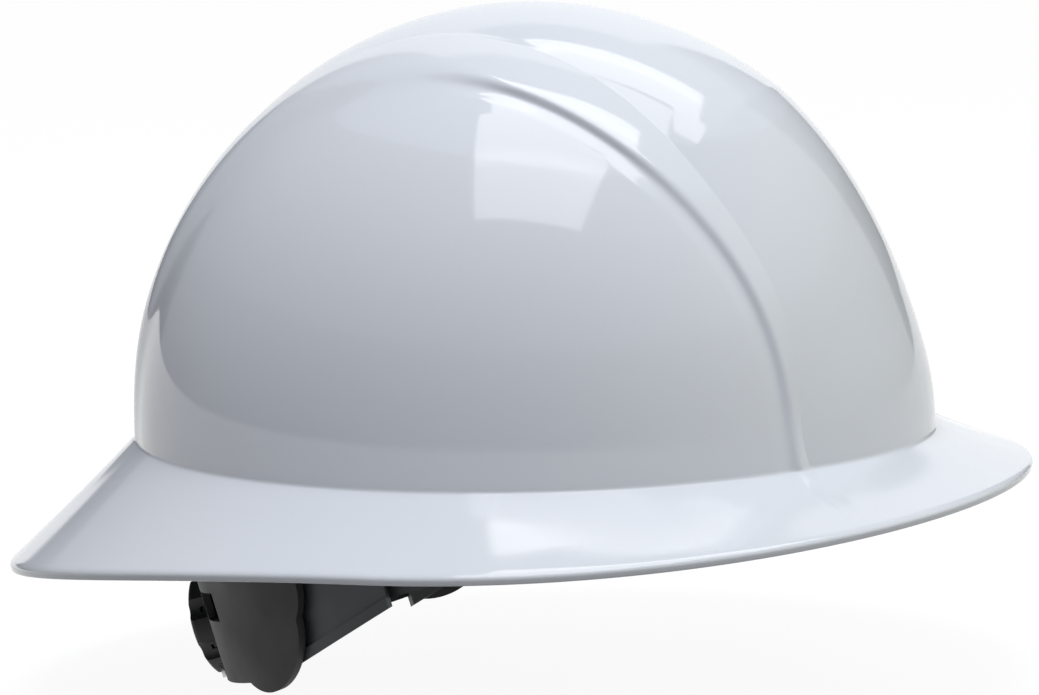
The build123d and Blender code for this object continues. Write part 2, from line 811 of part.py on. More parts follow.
def make_knob():
    """The scalloped knob, hollow over the detent ring, with a hub on the pinion's shaft."""
    body = outward(knob_radius, 0, knob_height)
    body = fillet(body.edges().sort_by(Axis.Z)[-1], knob_crown_round)
    for i in range(knob_scallops):
        turn = 180 * (2 * i + 1) / knob_scallops
        place = Rot(0, 0, turn) * Pos(knob_radius + knob_scallop_radius / 2, 0, 0)
        body = body - place * outward(knob_scallop_radius, -overrun, knob_height + overrun)
    hollow_radius = detent_outer_radius + knob_gap
    hollow_depth = detent_height + knob_gap
    hollow = outward(hollow_radius, -overrun, hollow_depth) - outward(hub_radius, -overrun, hollow_depth)
    bore = outward(pinion_shaft_radius + shaft_clearance, -overrun, knob_height / 2 + seat_gap)
    hole = outward(knob_screw_radius + shaft_clearance, 0, knob_height + overrun)
    recess = outward(
        knob_screw_head_radius + slot_clearance, knob_height - knob_screw_head_wall, knob_height + overrun
    )
    return rear_frame(knob_base) * (body - hollow - bore - hole - recess)


def make_pawl():
    """The click spring: a hub on the knob's hub and two curved arms that reach the detents."""
    hub = outward(pawl_hub_radius, 0, pawl_height)
    hub = hub - outward(hub_radius + shaft_clearance, 0, pawl_height)
    tip = detent_inner_radius - pawl_tip_gap
    pawl = hub
    middle = (pawl_hub_radius + tip) / 2
    for turn in (0, 180):
        arc = CenterArc((middle - pawl_wall, 0), tip - middle, 0, pawl_sweep)
        arm = trace(arc, pawl_wall)
        reach = outward(tip, 0, pawl_height)
        arm = extrude(arm, pawl_height) & reach
        pawl = pawl + Rot(0, 0, turn) * arm
    return rear_frame(knob_base + knob_gap) * pawl


def make_knob_screw():
    """The screw that holds the knob on the pinion's shaft."""
    head_start = knob_height - knob_screw_head_wall
    shank_start = head_start - knob_screw_length
    head = outward(knob_screw_head_radius, head_start, knob_height)
    shank = outward(knob_screw_radius, shank_start, head_start)
    return rear_frame(knob_base) * (head + shank)


def on_ring(shape):
    """A shape made in the ring's own frame, put in its place in the hat."""
    return ring_frame.location * shape


second_strap_top = strap_top_height - strap_wall - strap_cross_gap
nodes = {
    "shell": make_shell(),
    "headband": make_headband(),
    "hanger_rivets": make_rivets(),
    "brow_pad": make_brow_pad(),
    "crown_strap_upper": make_strap("front_left", "rear_right", strap_top_height),
    "crown_strap_lower": make_strap("front_right", "rear_left", second_strap_top),
    "crown_pad": make_crown_pad(),
    "nape_cradle": on_ring(make_cradle()),
    "ratchet_plate": on_ring(make_plate()),
    "plate_screws": on_ring(make_plate_screws()),
    "nape_pad": on_ring(make_nape_pad()),
    "detent_ring": on_ring(make_detent_ring()),
    "nape_arm_left": on_ring(make_arm(layer_one, 1)),
    "nape_arm_right": on_ring(mirror(make_arm(layer_two, -1), about=Plane.XZ)),
    "ratchet_knob": on_ring(make_knob()),
    "drive_pinion": on_ring(make_pinion()),
    "click_spring": on_ring(make_pawl()),
    "knob_screw": on_ring(make_knob_screw()),
}
for key_name in key_angles:
    nodes["key_" + key_name] = make_key(key_name)
for name, shape in nodes.items():
    export_step(shape, "parts/" + name + ".step")
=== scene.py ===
import bpy
import json
import math
import numpy as np
from mathutils import Matrix, Vector


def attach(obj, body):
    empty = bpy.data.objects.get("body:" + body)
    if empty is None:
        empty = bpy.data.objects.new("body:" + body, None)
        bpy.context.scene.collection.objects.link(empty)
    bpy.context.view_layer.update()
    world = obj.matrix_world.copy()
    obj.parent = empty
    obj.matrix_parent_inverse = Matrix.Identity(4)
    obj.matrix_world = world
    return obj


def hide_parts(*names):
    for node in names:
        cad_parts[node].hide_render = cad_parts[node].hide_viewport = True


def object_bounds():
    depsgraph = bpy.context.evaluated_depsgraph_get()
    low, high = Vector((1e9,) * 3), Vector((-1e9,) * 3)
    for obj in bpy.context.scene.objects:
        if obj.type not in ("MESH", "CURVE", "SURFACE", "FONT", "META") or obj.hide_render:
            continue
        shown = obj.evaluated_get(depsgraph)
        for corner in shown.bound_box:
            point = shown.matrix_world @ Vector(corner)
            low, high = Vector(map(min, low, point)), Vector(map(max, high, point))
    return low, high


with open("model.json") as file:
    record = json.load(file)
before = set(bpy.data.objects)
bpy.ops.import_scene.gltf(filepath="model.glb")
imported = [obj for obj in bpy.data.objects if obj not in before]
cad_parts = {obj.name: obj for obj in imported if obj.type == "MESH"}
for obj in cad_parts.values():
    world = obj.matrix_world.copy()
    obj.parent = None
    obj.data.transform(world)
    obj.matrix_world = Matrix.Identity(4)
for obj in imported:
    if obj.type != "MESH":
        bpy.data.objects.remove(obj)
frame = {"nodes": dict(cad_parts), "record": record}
cad_low, cad_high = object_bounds()

MM = 0.001

# The camera, fitted to the outlines in the photo: its place, film and lens in millimetres,
# and how near and how far it sees in metres
CAMERA_PLACE = (606.2, -1672.6, 306.0)
CAMERA_RIGHT = (0.94088, 0.33696, -0.03468)
CAMERA_UP = (-0.02038, 0.15849, 0.98715)
CAMERA_BACK = (0.33814, -0.92808, 0.15599)
CAMERA_LENS, FILM_WIDTH = 203.8, 36.0
CLIP_NEAR, CLIP_FAR = 0.05, 50

# Outer form of the shell, in millimetres
BOWL_LENGTH, BOWL_WIDTH, BOWL_HEIGHT = 122.5, 109.5, 127.0
BAND_RISE, BAND_REAR_RISE, BAND_TAIL_FALL = 1.9, 2.8, 1.2
FRONT_SPREAD, CRISP_SPREAD, SOFT_SPREAD = 1.3, 0.65, 5.5
STEP_REACH = 7.5
VALLEY_RISE = -0.2
GROOVE_DEPTH, CREST_WIDTH = 0.8, 1.3
HIGH_LEAST, BAND_LEAST = 5.0, 3.5
DIP_SLOPE, DIP_WIDTH, DIP_EDGE = 0.13, 5.0, 1.0
COMB_DOME = (2.6, 127.3, 131.2)
BROW_DOME = (0.0, 121.2, 138.3)
COMB_LEAST, COMB_BLEND, FRONT_FLARE = 0.8, 0.5, 1.8
SHELL_WALL = 2.4
FRONT_REACH, REAR_REACH, SIDE_REACH = 153.5, 165.3, 142.5
FRONT_DROP, REAR_DROP, SIDE_DROP = 11.0, 39.4, 18.4
BRIM_WALL = 2.5
ROOT_RADIUS = 1.0
LIP_HEIGHT = 2.6
LIP_WALL = 1.9

# Small forms of the brim, in millimetres. The crown's skin hides the tucked row.
TUCK_SHARE, TUCK_DEPTH = 1.5, 0.15
BRIM_SAG = 0.5
LIP_START, LIP_BULGE, LIP_TOP = 2.0, 0.25, 1.2
LIP_CURL_RISE, LIP_CURL_INSET = 0.6, 0.2
LIP_UNDER_INSET, LIP_UNDER_CORNER = 0.9, 0.3
LIP_INNER_INSET, LIP_INNER_RISE = 0.3, 0.2

# Turns from the front base in degrees between which a form changes
CRISP_TURNS = (46, 62)
SOFTENING = (80, 104)
RISE_TURNS = (80, 115)
TAIL_TURNS = (160, 180)
VALLEY_TURNS = (75, 100)
DIP_TURNS = (85, 100)
FLARE_TURNS = (3, 20)

# Sockets for the keys and ears for the chin strap, in millimetres
SOCKET_WIDTH, SOCKET_TOP, SOCKET_FACE, SOCKET_BACK = 28.0, 22.0, 3.7, 5.9
SOCKET_LEAN = 1.3
SLOT_WIDTH, SLOT_TOP, SLOT_HALF = 19.6, 19.3, 1.7
BLADE_LOW = 16.0
CLAMP_STEP = 0.1
EAR_WIDTH, EAR_WALL, EAR_REACH, EAR_HOLE = 13.0, 3.5, 100.6, 2.5
SOCKET_EDGE, EAR_EDGE, EDGE_SEGMENTS = 0.7, 0.5, 3
EAR_PLACES = 25

# The headband's own frame: its middle in millimetres and its tilt
RING_CENTRE = (-14.0, 0.0, -36.5)
RING_TILT = math.radians(16.0)

# Pads: their grid, how full they are, and their seams. Lengths are in millimetres, and
# the rims are heights in the headband's frame.
PAD_GRID, PAD_FILL, PAD_SINK = 1.0, 0.6, 0.12
PAD_SMOOTHING, PAD_SMOOTH_ROUNDS = 0.5, 5
SEAM_WIDTH, SEAM_DEPTH, QUILT_DEPTH = 0.9, 0.8, 0.7
BROW_CENTRE, BROW_FACE, BROW_RIMS = 51.0, 54.6, (-0.2, 22.4)
BROW_PITCH, BROW_LENGTH_PER_DEGREE = 15.0, 0.95
NAPE_RIMS, NAPE_LENGTH_PER_DEGREE = (-11.0, 19.0), 1.3
NAPE_END_TURN, NAPE_MIDDLE_TURN, NAPE_MIDDLE_WIDTH = 26.5, 9.0, 1.0
CROWN_RINGS, SPOKE_PITCH = (23.5, 9.0), 60.0
SPOKE_START, SPOKE_END = (8.0, 9.5), (24.0, 22.5)

# Straps in millimetres. One unit of the weave's map is WEAVE_UNIT long.
STRAP_HALF, STRAP_WALL, STRAP_SINK, STRAP_FOOT = 9.3, 1.1, 0.6, 0.1
STRAP_STEPS, FACE_PLACES, SELVEDGE_PLACES = 240, 24, 7
WEAVE_UNIT = 10

# Softboxes over the hat, in metres and degrees, with a tube's stripe at a share of their length
SOFTBOX_HEIGHT = 1.6
NEAR_BOX = {"middle": (0.14, -0.455), "spin": 7.0, "width": 0.87, "length": 1.12}
FAR_BOX = {"middle": (0.15, 0.403), "spin": 12.0, "width": 1.01, "length": 0.52}
SIDE_BOX = {"middle": (0.665, 0.085), "spin": 14.0, "width": 0.27, "length": 0.34}
NEAR_LEVEL, FAR_LEVEL, FILL_LEVEL = 9.5, 10.5, 12.6
LAMP_WHITE, FILL_COLOUR = (1, 1, 1), (0.75, 0.81, 1.0)
STRIPE_WIDTH, STRIPE_LEVEL = 0.07, 0.45
NEAR_STRIPE, FAR_STRIPE = 0.58, 0.67

# The studio round the hat: the light from each side as red, green and blue
SIDES = {
    "front": ("X", 1.0), "rear": ("X", -1.0), "left": ("Y", 1.0), "right": ("Y", -1.0),
    "above": ("Z", 1.0), "below": ("Z", -1.0),
}
SIDE_LIGHT = {
    "front": (0.91, 0.94, 0.88), "rear": (0.22, 0.23, 0.22), "left": (0.29, 0.30, 0.30),
    "right": (0.07, 0.07, 0.10), "above": (0.36, 0.36, 0.33), "below": (0.0, 0.0, 0.0),
}
PANEL_LIGHT = (0.15, 0.15, 0.14)
BACKDROP_LIGHT = (0.7, 0.7, 0.7)

# A bright panel in front, a backdrop and two dark cards, by turn and rise in degrees
PANEL_START, PANEL_END, PANEL_LEAN = -21.0, 74.0, 0.43
PANEL_FOOT, PANEL_TOP = -15.0, 40.0
FRONT_CARD_END = 90.0
REAR_CARD_START, REAR_CARD_END, REAR_CARD_TOP = 128.0, 146.0, 14.0
BACKDROP_FOOT, BACKDROP_TOP = -30.0, 50.0
CARD_DEPTH, CARD_EDGE = 0.85, 1.2

# The floor in metres, and its greys: what it glows with, what takes the hat's shadow, and
# what it sends up to the hat
FLOOR_HALF, FLOOR_GAP = 8.0, 0.0005
FLOOR_GLOW, FLOOR_SHADOW, FLOOR_BOUNCE = (0.93, 0.93, 0.93), (0.12, 0.12, 0.12), (0.2, 0.2, 0.2)

# Colours as red, green and blue
SHELL_DARK, SHELL_LIGHT = (0.76, 0.785, 0.83), (0.79, 0.81, 0.845)
STEEL_DARK, STEEL_LIGHT = (0.52, 0.52, 0.53), (0.62, 0.62, 0.63)
PAD_COLOUR, WEBBING_COLOUR = (0.020, 0.021, 0.023), (0.030, 0.031, 0.033)
BAND_COLOUR, ARM_COLOUR = (0.035, 0.036, 0.038), (0.052, 0.060, 0.063)
CRADLE_COLOUR, GEAR_COLOUR = (0.006, 0.006, 0.006), (0.5, 0.49, 0.45)

# How deep light goes into the shell in metres, for red, green and blue, the range that most
# of a noise lies in, and how far the roughness of moulded plastic drifts
SCATTER_RADIUS = (0.003, 0.003, 0.003)
NOISE_LOW, NOISE_HIGH = 0.3, 0.7
SHEEN_DRIFT = 0.07

# How finely the shell is divided: places along each stretch of its rows and columns
COLUMNS, CROWN_ROWS = 720, 420
COMB_PLACES, BAND_PLACES, STEP_PLACES, BESIDE_PLACES, BOWL_PLACES = 40, 12, 24, 12, 70
ROOT_STEPS, BRIM_STEPS, LIP_STEPS, UNDER_STEPS = 7, 30, 8, 3
UNDERSIDE_STEPS, INSIDE_STEPS = 14, 90

# Places across the crown beside its creases, in millimetres, and its overrun in degrees
FOLD_OFFSETS = (-2.6, -2.1, -1.6, -1.2, -0.8, -0.45, -0.2, 0.0, 0.2, 0.45)
BAND_START, BAND_SHORTEST = 0.8, 1.2
STEP_SPREADS, STEP_GAP = 2.7, 0.3
BESIDE_END, BOWL_START = 9.0, 9.6
CROWN_OVERRUN = 1.5


def collection_of(obj):
    """The object, linked into the scene."""
    bpy.context.scene.collection.objects.link(obj)
    return obj


def mesh_object(name, points, faces, smooth=True):
    """A mesh from points in metres and faces of their numbers, linked into the scene."""
    mesh = bpy.data.meshes.new(name)
    mesh.from_pydata([tuple(p) for p in points], [], [tuple(f) for f in faces])
    mesh.update()
    if smooth:
        mesh.shade_smooth()
    return collection_of(bpy.data.objects.new(name, mesh))


def smoothstep(low, high, value):
    """A smooth rise from zero at the first limit to one at the second."""
    share = np.clip((value - low) / (high - low), 0, 1)
    return share * share * (3 - 2 * share)


# The two long creases: half widths in millimetres at turns in degrees, from the front base
# over the top to the rear base
LOW_CREASE = [
    (0, 59.5), (10, 60), (20, 59.7), (30, 58.8), (38, 58.5), (46, 59), (52, 59), (58, 58.4),
    (66, 56.2), (74, 54.6), (82, 53), (90, 51), (98, 48.6), (106, 46.4), (116, 44.5),
    (126, 44.5), (134, 44), (142, 43), (160, 42), (180, 41),
]
HIGH_CREASE = [
    (0, 54.7), (10, 55.2), (20, 54.2), (32, 51.6), (40, 49.4), (47, 47.6), (54, 46.4),
    (59, 45.1), (63, 43.2), (68, 40), (73.5, 36.5), (78.5, 33.5), (83, 31.2), (87, 29.6),
    (91, 28.8), (96, 28), (104, 27.4), (114, 27), (121, 26), (126, 24.5), (140, 24), (180, 23),
]
CREASE_POWER = 8
NEWTON_STEPS = 3


def crease_curve(table):
    """A smooth curve that evens out the points of a crease."""
    turns, halves = zip(*table)
    return np.polynomial.Polynomial.fit(turns, halves, CREASE_POWER)


low_crease = crease_curve(LOW_CREASE)
high_crease = crease_curve(HIGH_CREASE)


def crease_pair(degrees):
    """The half widths of the two creases at a turn from the front over the top."""
    low = low_crease(degrees)
    return low, np.clip(high_crease(degrees), HIGH_LEAST, low - BAND_LEAST)


def step_spread(degrees):
    """How wide the band's step is drawn out: crisp high in front, softer below and behind."""
    front = FRONT_SPREAD + (CRISP_SPREAD - FRONT_SPREAD) * smoothstep(*CRISP_TURNS, degrees)
    return front + (SOFT_SPREAD - CRISP_SPREAD) * smoothstep(*SOFTENING, degrees)


def bowl_normal(x, y, z):
    """The direction straight out of the plain bowl."""
    normal = np.stack([x / BOWL_LENGTH**2, y / BOWL_WIDTH**2, z / BOWL_HEIGHT**2], -1)
    return normal / np.linalg.norm(normal, axis=-1, keepdims=True)


def dome_lift(degrees, dome):
    """How far a dome stands out of the bowl in the middle plane."""
    shift, length, height = dome
    turn = np.radians(degrees)
    x, z = BOWL_LENGTH * np.cos(turn), BOWL_HEIGHT * np.sin(turn)
    normal = bowl_normal(x, np.zeros_like(x), z)
    lift = np.zeros_like(x)
    for _ in range(NEWTON_STEPS):
        across = (x + normal[..., 0] * lift - shift) / length
        up = (z + normal[..., 2] * lift) / height
        value = np.hypot(across, up)
        slope = (across * normal[..., 0] / length + up * normal[..., 2] / height) / value
        lift = lift - (value - 1) / slope
    return lift


def comb_crown(degrees):
    """The comb's height over the bowl in the middle plane: two domes that meet in a brow."""
    crown = np.minimum(dome_lift(degrees, COMB_DOME), dome_lift(degrees, BROW_DOME))
    flare = FRONT_FLARE * (1 - smoothstep(*FLARE_TURNS, degrees))
    least = COMB_LEAST + flare
    return np.logaddexp(crown / COMB_BLEND, least / COMB_BLEND) * COMB_BLEND


def relief(x, y, z):
    """How far the moulded band and comb stand out of the plain bowl."""
    degrees = np.degrees(np.arctan2(np.maximum(z, 0) / BOWL_HEIGHT, x / BOWL_LENGTH))
    reach = np.abs(y)
    low, high = crease_pair(degrees)
    rise = BAND_RISE + (BAND_REAR_RISE - BAND_RISE) * smoothstep(*RISE_TURNS, degrees)
    rise = rise - BAND_TAIL_FALL * smoothstep(*TAIL_TURNS, degrees)
    rear = smoothstep(*VALLEY_TURNS, degrees)
    valley = VALLEY_RISE + (rise - VALLEY_RISE) * rear
    band = rise + (valley - rise) * np.clip((low - reach) / (low - high), 0, 1)
    step = 0.5 * (1 + np.tanh((low - reach) / step_spread(degrees)))
    beside = reach - low
    dip = DIP_SLOPE * np.clip(DIP_WIDTH - np.maximum(beside, 0), 0, None)
    dip = dip * (1 - smoothstep(*DIP_TURNS, degrees)) * (0.5 + 0.5 * np.tanh(beside / DIP_EDGE))
    foot = valley - GROOVE_DEPTH * rear
    comb = foot + (comb_crown(degrees) - foot) * (1 - np.clip(reach / high, 0, 1) ** 2)
    crest = np.exp(-((np.maximum(high - reach, 0) / CREST_WIDTH) ** 2))
    comb = comb + GROOVE_DEPTH * rear * crest
    return np.where(reach < high, comb, band * step - dip)


def lifted(x, y, z, lift):
    """Points of the bowl moved outward by a lift."""
    return np.stack([x, y, z], -1) + bowl_normal(x, y, z) * lift[..., None]


def crown_surface(around, rise, depth=0.0):
    """Points of the crown for angles round it and up it, in millimetres."""
    x = BOWL_LENGTH * np.cos(around) * np.cos(rise)
    y = BOWL_WIDTH * np.sin(around) * np.cos(rise)
    z = BOWL_HEIGHT * np.sin(rise)
    return lifted(x, y, z, relief(x, y, z) - depth)


def crown_half(degrees):
    """Distances out from the middle plane at a turn, close together where the creases run."""
    low, high = crease_pair(degrees)
    spread = step_spread(degrees)
    comb = high * np.linspace(0, 1, COMB_PLACES)[:-1]
    fold = high + np.array(FOLD_OFFSETS)
    step_reach = min(STEP_SPREADS * spread, STEP_REACH)
    band_end = max(low - step_reach - STEP_GAP, high + BAND_SHORTEST)
    band = np.linspace(high + BAND_START, band_end, BAND_PLACES)
    step = low + step_reach * np.linspace(-1, 1, STEP_PLACES)
    beside = np.linspace(low + step_reach + STEP_GAP, low + BESIDE_END, BESIDE_PLACES)
    start = math.asin(min((low + BOWL_START) / BOWL_WIDTH, 1))
    bowl = BOWL_WIDTH * np.sin(np.linspace(start, math.pi / 2, BOWL_PLACES))
    return np.sort(np.concatenate([comb, fold, band, step, beside, bowl]))


def make_crown():
    """The crown's outer skin, with its rows running along the creases."""
    rows = []
    start, end = math.radians(-CROWN_OVERRUN), math.radians(180 + CROWN_OVERRUN)
    for turn in np.linspace(start, end, CROWN_ROWS):
        half = crown_half(math.degrees(min(max(turn, 0.0), math.pi)))
        reach = np.concatenate([-half[:0:-1], half])
        flat = np.sqrt(np.maximum(1 - (reach / BOWL_WIDTH) ** 2, 0))
        x = BOWL_LENGTH * math.cos(turn) * flat
        z = BOWL_HEIGHT * math.sin(turn) * flat
        rows.append(lifted(x, reach, z, relief(x, reach, z)))
    count = len(rows[0])
    faces = []
    for i in range(CROWN_ROWS - 1):
        a = i * count
        for j in range(count - 1):
            faces.append((a + j, a + j + 1, a + count + j + 1, a + count + j))
    crown = mesh_object("shell_crown", np.concatenate(rows) * MM, faces)
    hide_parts("shell")
    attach(crown, "helmet")
    return crown


def brim_edge(around):
    """The upper edge of the lip, for angles round the hat."""
    reach = np.where(np.cos(around) > 0, FRONT_REACH, REAR_REACH)
    end_drop = np.where(np.cos(around) > 0, FRONT_DROP, REAR_DROP)
    drop = SIDE_DROP + (end_drop - SIDE_DROP) * np.cos(around) ** 2
    return np.stack([reach * np.cos(around), SIDE_REACH * np.sin(around), -drop], -1)


def bend(start, corner, end, count):
    """Points on a curve from start to end that bends at a corner, without its two ends."""
    shares = np.linspace(0, 1, count + 2)[1:-1]
    return [(1 - s) ** 2 * start + 2 * s * (1 - s) * corner + s**2 * end for s in shares]


def make_brim():
    """The rest of the moulding in one sheet: root, brim, lip, underside and inside of the crown."""
    around = np.linspace(0, 2 * math.pi, COLUMNS, endpoint=False)
    first = math.asin(ROOT_RADIUS / BOWL_HEIGHT)
    foot = crown_surface(around, np.zeros_like(around))
    edge = brim_edge(around)
    flat = edge - foot
    length = np.linalg.norm(flat, axis=-1, keepdims=True)
    way = flat / length
    brim_start = foot + way * ROOT_RADIUS
    rows = [crown_surface(around, np.full_like(around, first * TUCK_SHARE), TUCK_DEPTH)]
    rows.append(crown_surface(around, np.full_like(around, first)))
    rows += bend(rows[-1], foot, brim_start, ROOT_STEPS)
    out = edge * [1, 1, 0] - foot * [1, 1, 0]
    out /= np.linalg.norm(out, axis=-1, keepdims=True)
    down = np.array([0, 0, -1.0])
    stop = edge - way * LIP_START
    for share in np.linspace(0, 1, BRIM_STEPS):
        row = brim_start + (stop - brim_start) * share
        sag = math.sin(share * math.pi) * BRIM_SAG
        rows.append(row + down * sag)
    side_top = edge + down * LIP_TOP
    rows += bend(rows[-1], edge + way * LIP_BULGE, side_top, LIP_STEPS)
    rows.append(side_top)
    side_low = edge + down * (LIP_HEIGHT - LIP_CURL_RISE) - out * LIP_CURL_INSET
    rows.append(side_low)
    under = edge + down * LIP_HEIGHT - out * LIP_UNDER_INSET
    under_corner = edge + down * LIP_HEIGHT - out * LIP_UNDER_CORNER
    rows += bend(side_low, under_corner, under, UNDER_STEPS)
    rows.append(under)
    inner_low = edge + down * (LIP_HEIGHT - LIP_INNER_RISE) - out * (LIP_WALL + LIP_INNER_INSET)
    rows.append(inner_low)
    inner_foot = crown_surface(around, np.zeros_like(around), SHELL_WALL)
    root = inner_foot + down * BRIM_WALL
    for share in np.linspace(0, 1, UNDERSIDE_STEPS)[1:]:
        rows.append(inner_low + (root - inner_low) * share)
    for rise in np.linspace(0.0, math.pi / 2, INSIDE_STEPS)[:-1]:
        rows.append(crown_surface(around, np.full_like(around, rise), SHELL_WALL))
    low = crown_surface(np.zeros(1), np.full(1, math.pi / 2), SHELL_WALL)
    points = np.concatenate(rows + [low]) * MM
    count = len(rows)
    faces = []
    end = (count - 1) * COLUMNS
    for j in range(COLUMNS):
        k = (j + 1) % COLUMNS
        faces.append((len(points) - 1, end + k, end + j))
    for i in range(count - 1):
        a = i * COLUMNS
        b = a + COLUMNS
        for j in range(COLUMNS):
            k = (j + 1) % COLUMNS
            faces.append((a + j, b + j, b + k, a + k))
    brim = mesh_object("shell_brim", points, faces)
    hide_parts("shell")
    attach(brim, "helmet")
    return brim


def node_points(name):
    """A CAD node's points in the row frame, in millimetres."""
    node = frame["nodes"][name]
    return np.array([node.matrix_world @ v.co for v in node.data.vertices]) / MM


def rounded(obj, width):
    """The object with its sharp edges rounded, by a width in millimetres."""
    bevel = obj.modifiers.new("edges", "BEVEL")
    bevel.width = width * MM
    bevel.segments = EDGE_SEGMENTS
    bevel.limit_method = "ANGLE"
    return obj


def in_wall(place, height):
    """Whether a point lies inside the surface that runs in the middle of the shell's wall."""
    x, y = place
    point = np.array([x, y, height])
    size = np.array([BOWL_LENGTH, BOWL_WIDTH, BOWL_HEIGHT])
    value = np.linalg.norm(point / size)
    lift = (value - 1) * value / np.linalg.norm(point / size**2)
    return lift < relief(x, y, height) - SHELL_WALL / 2


def make_socket(key):
    """The open box inside the shell that takes a key's blade, placed from the key itself."""
    points = node_points(key)
    blade = points[points[:, 2] > BLADE_LOW]
    middle = (blade.max(0) + blade.min(0)) / 2
    _, vectors = np.linalg.eigh(np.cov((blade - middle)[:, :2].T))
    along = vectors[:, 1]
    inward = vectors[:, 0] * -np.sign(vectors[:, 0] @ middle[:2])

    def at(depth, side, height):
        place = middle[:2] + inward * depth + along * side
        while depth < 0 and not in_wall(place, max(height, 0.0)):
            depth += CLAMP_STEP
            place = middle[:2] + inward * depth + along * side
        return (place[0], place[1], height)

    half, slot = SOCKET_WIDTH / 2, SLOT_WIDTH / 2
    back_top = SOCKET_LEAN - SOCKET_BACK
    low = [(-SOCKET_BACK, -half), (SOCKET_FACE, -half), (SOCKET_FACE, half), (-SOCKET_BACK, half)]
    high = [(back_top, -half), (SOCKET_FACE, -half), (SOCKET_FACE, half), (back_top, half)]
    hollow = [(-SLOT_HALF, -slot), (SLOT_HALF, -slot), (SLOT_HALF, slot), (-SLOT_HALF, slot)]
    corners = [at(d, w, -BRIM_WALL) for d, w in low]
    corners += [at(d, w, SOCKET_TOP) for d, w in high]
    corners += [at(d, w, -BRIM_WALL) for d, w in hollow]
    corners += [at(d, w, SLOT_TOP) for d, w in hollow]
    faces = [(4, 5, 6, 7), (15, 14, 13, 12)]
    for i in range(4):
        j = (i + 1) % 4
        faces.append((i, j, 4 + j, 4 + i))
        faces.append((i, 8 + i, 8 + j, j))
        faces.append((8 + i, 12 + i, 12 + j, 8 + j))
    socket = mesh_object(key.replace("key", "socket"), np.array(corners) * MM, faces, smooth=False)
    rounded(socket, SOCKET_EDGE)
    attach(socket, "helmet")
    return socket


def make_ear(side):
    """One flat ear with an upright hole, for a chin strap."""
    wall = BOWL_WIDTH - SHELL_WALL / 2
    half = EAR_WIDTH / 2
    turns = np.linspace(0, math.pi, EAR_PLACES)
    outline = [(half, wall)] + [(half * math.cos(t), EAR_REACH - half * math.sin(t)) for t in turns]
    outline.append((-half, wall))
    hole = [(EAR_HOLE * math.cos(t), EAR_REACH - EAR_HOLE * math.sin(t)) for t in turns]
    back = [(EAR_HOLE * math.cos(t), EAR_REACH + EAR_HOLE * math.sin(t)) for t in turns]
    inner = [hole[0]] + hole + [hole[-1]]
    levels = (-BRIM_WALL, -BRIM_WALL + EAR_WALL)
    points, faces = [], []
    count = len(outline)
    for height in levels:
        points += [(x, y * side, height) for x, y in outline + inner + back]
    total = len(points) // 2
    for i in range(count - 1):
        j = i + 1
        faces.append((i, j, count + j, count + i))
        faces.append((total + i, total + count + i, total + count + j, total + j))
        faces.append((i, total + i, total + j, j))
    start = 2 * count
    ends = [0, *range(start, start + len(back)), count - 1]
    faces.append(tuple(ends))
    faces.append(tuple(total + k for k in reversed(ends)))
    for i in range(len(back) - 1):
        faces.append((start + i, start + i + 1, total + start + i + 1, total + start + i))
        faces.append((count + 1 + i, total + count + 1 + i, total + count + 2 + i, count + 2 + i))
    name = "ear_left" if side > 0 else "ear_right"
    ear = mesh_object(name, np.array(points) * MM, faces, smooth=False)
    rounded(ear, EAR_EDGE)
    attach(ear, "helmet")
    return ear


def to_ring(points):
    """Points in the headband's own frame."""
    moved = points - np.array(RING_CENTRE)
    lean, rise = math.cos(RING_TILT), math.sin(RING_TILT)
    along = moved[:, 0] * lean + moved[:, 2] * rise
    up = moved[:, 2] * lean - moved[:, 0] * rise
    return np.stack([along, moved[:, 1], up], -1)


def applied(obj):
    """The object with its modifiers made part of its mesh."""
    graph = bpy.context.evaluated_depsgraph_get()
    made = bpy.data.meshes.new_from_object(obj.evaluated_get(graph))
    obj.modifiers.clear()
    obj.data = made
    return obj


def mesh_arrays(mesh):
    """The places and normals of a mesh's points, one row each."""
    points = np.empty(len(mesh.vertices) * 3)
    normals = np.empty(len(mesh.vertices) * 3)
    mesh.vertices.foreach_get("co", points)
    mesh.vertices.foreach_get("normal", normals)
    return points.reshape(-1, 3), normals.reshape(-1, 3)


def cushion(node, name, sink):
    """A stuffed piece in its CAD solid's space: softened edges, then sunk where it is sewn."""
    source = frame["nodes"][node]
    pad = collection_of(bpy.data.objects.new(name, source.data.copy()))
    pad.data.materials.clear()
    pad.matrix_world = source.matrix_world
    even = pad.modifiers.new("even", "REMESH")
    even.mode = "VOXEL"
    even.voxel_size = PAD_GRID * MM
    soft = pad.modifiers.new("soft", "SMOOTH")
    soft.factor = PAD_SMOOTHING
    soft.iterations = PAD_SMOOTH_ROUNDS
    applied(pad)
    local, normals = mesh_arrays(pad.data)
    world = local @ np.array(pad.matrix_world.to_3x3()).T + np.array(pad.matrix_world.translation)
    local -= normals * (sink(world / MM) * MM)[:, None]
    pad.data.vertices.foreach_set("co", local.ravel())
    pad.data.update()
    divide = pad.modifiers.new("fine", "SUBSURF")
    divide.levels = divide.render_levels = 1
    applied(pad)
    pad.data.shade_smooth()
    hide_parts(node)
    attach(pad, "helmet")
    return pad


def groove(distance, width, depth):
    """The depth of a sewn channel at a distance from its stitches."""
    return depth * np.exp(-((distance / width) ** 2))


def from_nearer(value, places):
    """The distance from the nearer one of two places."""
    return np.minimum(np.abs(value - places[0]), np.abs(value - places[1]))


def from_pitch(turn, pitch):
    """The distance from the nearest multiple of a pitch."""
    return np.abs((turn + pitch / 2) % pitch - pitch / 2)


